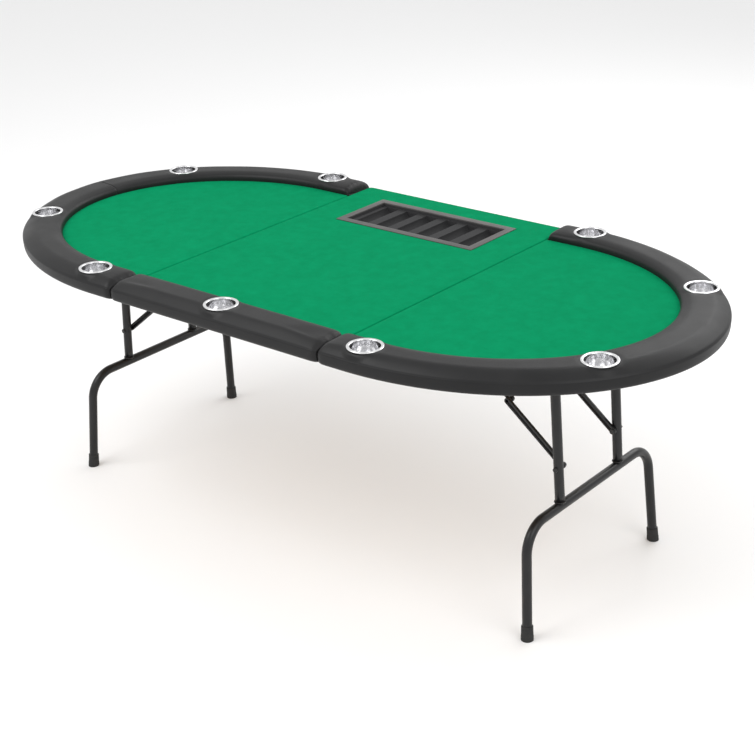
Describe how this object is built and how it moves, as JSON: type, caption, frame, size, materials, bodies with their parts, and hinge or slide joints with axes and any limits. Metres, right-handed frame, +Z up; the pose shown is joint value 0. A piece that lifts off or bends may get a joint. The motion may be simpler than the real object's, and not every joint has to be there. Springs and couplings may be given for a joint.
{
  "type": "poker table",
  "caption": "Oval folding poker table: padded black rail with drop-in cup holders, green felt top with a dealer's chip tray, and two folding black tube leg frames.",
  "frame": {"origin": "on the floor under the middle of the table top", "axes": "+X along the table's length, +Y towards the dealer's side with the chip tray, +Z up"},
  "size_m": [2.17, 1.067, 0.764],
  "materials": {
    "board": "raw fibreboard",
    "felt": "brushed green speed cloth",
    "rail": "fine-grained black synthetic leather",
    "cup": "polished stainless steel",
    "tray": "satin dark grey",
    "tube": "satin black powder coat",
    "link": "satin black powder coat",
    "bracket": "satin black powder coat",
    "hinge": "zinc-plated",
    "fastener": "zinc-plated",
    "clip": "moulded",
    "foot": "matte"
  },
  "bodies": {
    "middle": {"middle_board": "board", "middle_felt": "felt", "middle_rail": "rail", "chip_tray": "tray", "middle_cup_holder": "cup", "left_hinge_sockets": "hinge", "right_hinge_sockets": "hinge"},
    "left_leaf": {"left_board": "board", "left_felt": "felt", "left_rail": "rail", "left_hinge_bodies": "hinge", "left_front_cup_holder": "cup", "left_end_front_cup_holder": "cup", "left_end_back_cup_holder": "cup", "left_back_cup_holder": "cup", "left_pivot_brackets": "bracket", "left_brace_brackets": "bracket", "left_brace_pins": "fastener", "left_leg_clips": "clip", "left_screws": "fastener"},
    "left_leg": {"left_pivot_tube": "tube", "left_front_upright": "tube", "left_back_upright": "tube", "left_foot_tube": "tube", "left_front_foot_cap": "foot", "left_back_foot_cap": "foot", "left_brace_bolts": "fastener"},
    "left_upper_brace": {"left_front_upper_link": "link", "left_back_upper_link": "link", "left_elbow_rivets": "fastener"},
    "left_lower_brace": {"left_front_lower_link": "link", "left_back_lower_link": "link"},
    "right_leaf": {"right_board": "board", "right_felt": "felt", "right_rail": "rail", "right_hinge_bodies": "hinge", "right_front_cup_holder": "cup", "right_end_front_cup_holder": "cup", "right_end_back_cup_holder": "cup", "right_back_cup_holder": "cup", "right_pivot_brackets": "bracket", "right_brace_brackets": "bracket", "right_brace_pins": "fastener", "right_leg_clips": "clip", "right_screws": "fastener"},
    "right_leg": {"right_pivot_tube": "tube", "right_front_upright": "tube", "right_back_upright": "tube", "right_foot_tube": "tube", "right_front_foot_cap": "foot", "right_back_foot_cap": "foot", "right_brace_bolts": "fastener"},
    "right_upper_brace": {"right_front_upper_link": "link", "right_back_upper_link": "link", "right_elbow_rivets": "fastener"},
    "right_lower_brace": {"right_front_lower_link": "link", "right_back_lower_link": "link"}
  },
  "joints": [
    {"name": "left_leaf_fold", "type": "hinge", "parent": "middle", "child": "left_leaf", "pos_m": [-0.356, 0, 0.765], "axis": [0, 1, 0], "range_deg": [0, 180]},
    {"name": "left_leg_fold", "type": "hinge", "parent": "left_leaf", "child": "left_leg", "pos_m": [-0.752, 0, 0.688], "axis": [0, -1, 0], "range_deg": [0, 93.5]},
    {"name": "left_upper_brace_swing", "type": "hinge", "parent": "left_leaf", "child": "left_upper_brace", "pos_m": [-0.402, 0, 0.688], "axis": [0, 1, 0], "range_deg": [-0.5, 39.16]},
    {"name": "left_lower_brace_swing", "type": "hinge", "parent": "left_leg", "child": "left_lower_brace", "pos_m": [-0.77001, 0, 0.39355], "axis": [0, -1, 0], "range_deg": [-0.5, 48.34]},
    {"name": "right_leaf_fold", "type": "hinge", "parent": "middle", "child": "right_leaf", "pos_m": [0.356, 0, 0.765], "axis": [0, -1, 0], "range_deg": [0, 90]},
    {"name": "right_leg_fold", "type": "hinge", "parent": "right_leaf", "child": "right_leg", "pos_m": [0.752, 0, 0.688], "axis": [0, 1, 0], "range_deg": [0, 93.5]},
    {"name": "right_upper_brace_swing", "type": "hinge", "parent": "right_leaf", "child": "right_upper_brace", "pos_m": [0.402, 0, 0.688], "axis": [0, -1, 0], "range_deg": [-0.5, 39.16]},
    {"name": "right_lower_brace_swing", "type": "hinge", "parent": "right_leg", "child": "right_lower_brace", "pos_m": [0.77001, 0, 0.39355], "axis": [0, 1, 0], "range_deg": [-0.5, 48.34]}
  ],
  "couplings": [
    {"joint": "left_upper_brace_swing", "follows": "left_leg_fold", "ratio": 0.41352},
    {"joint": "left_lower_brace_swing", "follows": "left_leg_fold", "ratio": 0.51162},
    {"joint": "right_upper_brace_swing", "follows": "right_leg_fold", "ratio": 0.41352},
    {"joint": "right_lower_brace_swing", "follows": "right_leg_fold", "ratio": 0.51162}
  ]
}
